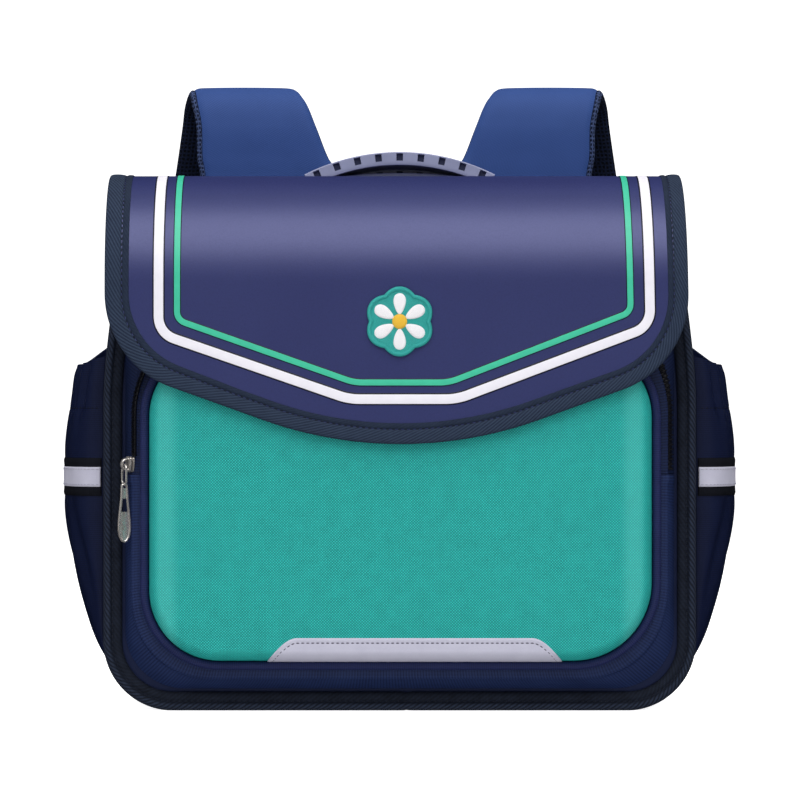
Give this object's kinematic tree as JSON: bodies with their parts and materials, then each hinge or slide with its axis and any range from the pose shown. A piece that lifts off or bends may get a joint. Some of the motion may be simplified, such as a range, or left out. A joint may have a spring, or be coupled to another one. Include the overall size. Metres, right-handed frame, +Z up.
{
  "type": "kids backpack",
  "caption": "Child's flap-top school backpack with a front zip pocket, gathered side pockets, moulded carry handle and padded shoulder straps, standing on its base.",
  "frame": {"origin": "on the floor, in the middle of the flat base", "axes": "+Z up, +X to the right of someone facing the front, +Y from the front to the wearer's back"},
  "size_m": [0.4192, 0.2379, 0.3875],
  "materials": {
    "nylon": "ribbed navy nylon with thin foam backing",
    "edge_binding": "near-black twill tape",
    "flap_edge": "slate twill tape",
    "flap_leather": "fine-grained coated leather, satin",
    "teal_panel": "moulded foam panel faced with woven cloth",
    "piping": "folded navy tape",
    "reflective": "grey reflective tape",
    "white_film": "white welded film",
    "green_film": "green welded film",
    "badge_thread": "embroidered patch",
    "strap_cloth": "blue nylon outside, dark mesh inside",
    "webbing": "black webbing",
    "black_plastic": "black moulded plastic",
    "handle_plastic": "soft moulded plastic",
    "nickel": "nickel-plated zinc"
  },
  "bodies": {
    "root": {"base_panel": "nylon", "front_wall": "nylon", "back_panel": "nylon", "pocket_gusset": "nylon", "side_panel_left": "nylon", "side_panel_right": "nylon", "side_pocket_left": "nylon", "side_pocket_right": "nylon", "front_binding": "edge_binding", "back_binding": "edge_binding", "zip_tape": "edge_binding", "side_band_left": "edge_binding", "side_band_right": "edge_binding", "flap_binding": "flap_edge", "flap": "flap_leather", "pocket_panel": "teal_panel", "panel_piping": "piping", "reflective_trim": "reflective", "side_reflector_left": "reflective", "side_reflector_right": "reflective", "stripe_white": "white_film", "stripe_green": "green_film", "badge": "badge_thread", "strap_left": "strap_cloth", "strap_right": "strap_cloth", "strap_webbing_left": "webbing", "strap_webbing_right": "webbing", "strap_adjuster_left": "black_plastic", "strap_adjuster_right": "black_plastic", "zip_coil": "black_plastic", "handle_grip": "handle_plastic", "handle_base": "handle_plastic", "zip_slider": "nickel", "zip_link": "nickel", "zip_puller": "nickel"}
  },
  "joints": []
}
